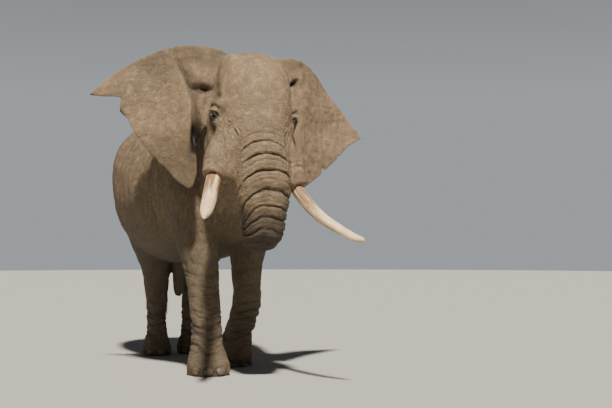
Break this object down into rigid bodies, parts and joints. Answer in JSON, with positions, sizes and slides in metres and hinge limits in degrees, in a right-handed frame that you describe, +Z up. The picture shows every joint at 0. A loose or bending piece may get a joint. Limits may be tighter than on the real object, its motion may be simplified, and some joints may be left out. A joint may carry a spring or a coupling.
{
  "type": "african elephant",
  "caption": "Life-size african elephant bull, standing mid stride, with spread notched ears, long curved tusks and its trunk curled under towards its mouth.",
  "frame": {"origin": "on the ground under the middle of the animal's bounding box", "axes": "-Y is the way the animal faces, +X is its own left, +Z is up"},
  "size_m": [3.2292, 5.1768, 3.584],
  "materials": {
    "skin": "dry, wrinkled and dusty",
    "ivory": "worn satin, stained near the lip",
    "nail": "dull and chipped",
    "eye": "wet",
    "hair": "coarse bristle"
  },
  "bodies": {
    "root": {"ear_left": "skin", "ear_right": "skin", "eye_left": "eye", "eye_right": "eye", "foreleg_left_foot": "skin", "foreleg_left_lower": "skin", "foreleg_left_upper": "skin", "foreleg_right_foot": "skin", "foreleg_right_lower": "skin", "foreleg_right_upper": "skin", "head": "skin", "hindleg_left_foot": "skin", "hindleg_left_lower": "skin", "hindleg_left_upper": "skin", "hindleg_right_foot": "skin", "hindleg_right_lower": "skin", "hindleg_right_upper": "skin", "lower_jaw": "skin", "nail_foreleg_left_1": "nail", "nail_foreleg_left_2": "nail", "nail_foreleg_left_3": "nail", "nail_foreleg_left_4": "nail", "nail_foreleg_right_1": "nail", "nail_foreleg_right_2": "nail", "nail_foreleg_right_3": "nail", "nail_foreleg_right_4": "nail", "nail_hindleg_left_1": "nail", "nail_hindleg_left_2": "nail", "nail_hindleg_left_3": "nail", "nail_hindleg_right_1": "nail", "nail_hindleg_right_2": "nail", "nail_hindleg_right_3": "nail", "neck": "skin", "sheath": "skin", "tail": "skin", "tail_tuft": "hair", "torso": "skin", "trunk_middle": "skin", "trunk_tip": "skin", "trunk_upper": "skin", "tusk_left": "ivory", "tusk_right": "ivory"}
  },
  "joints": []
}
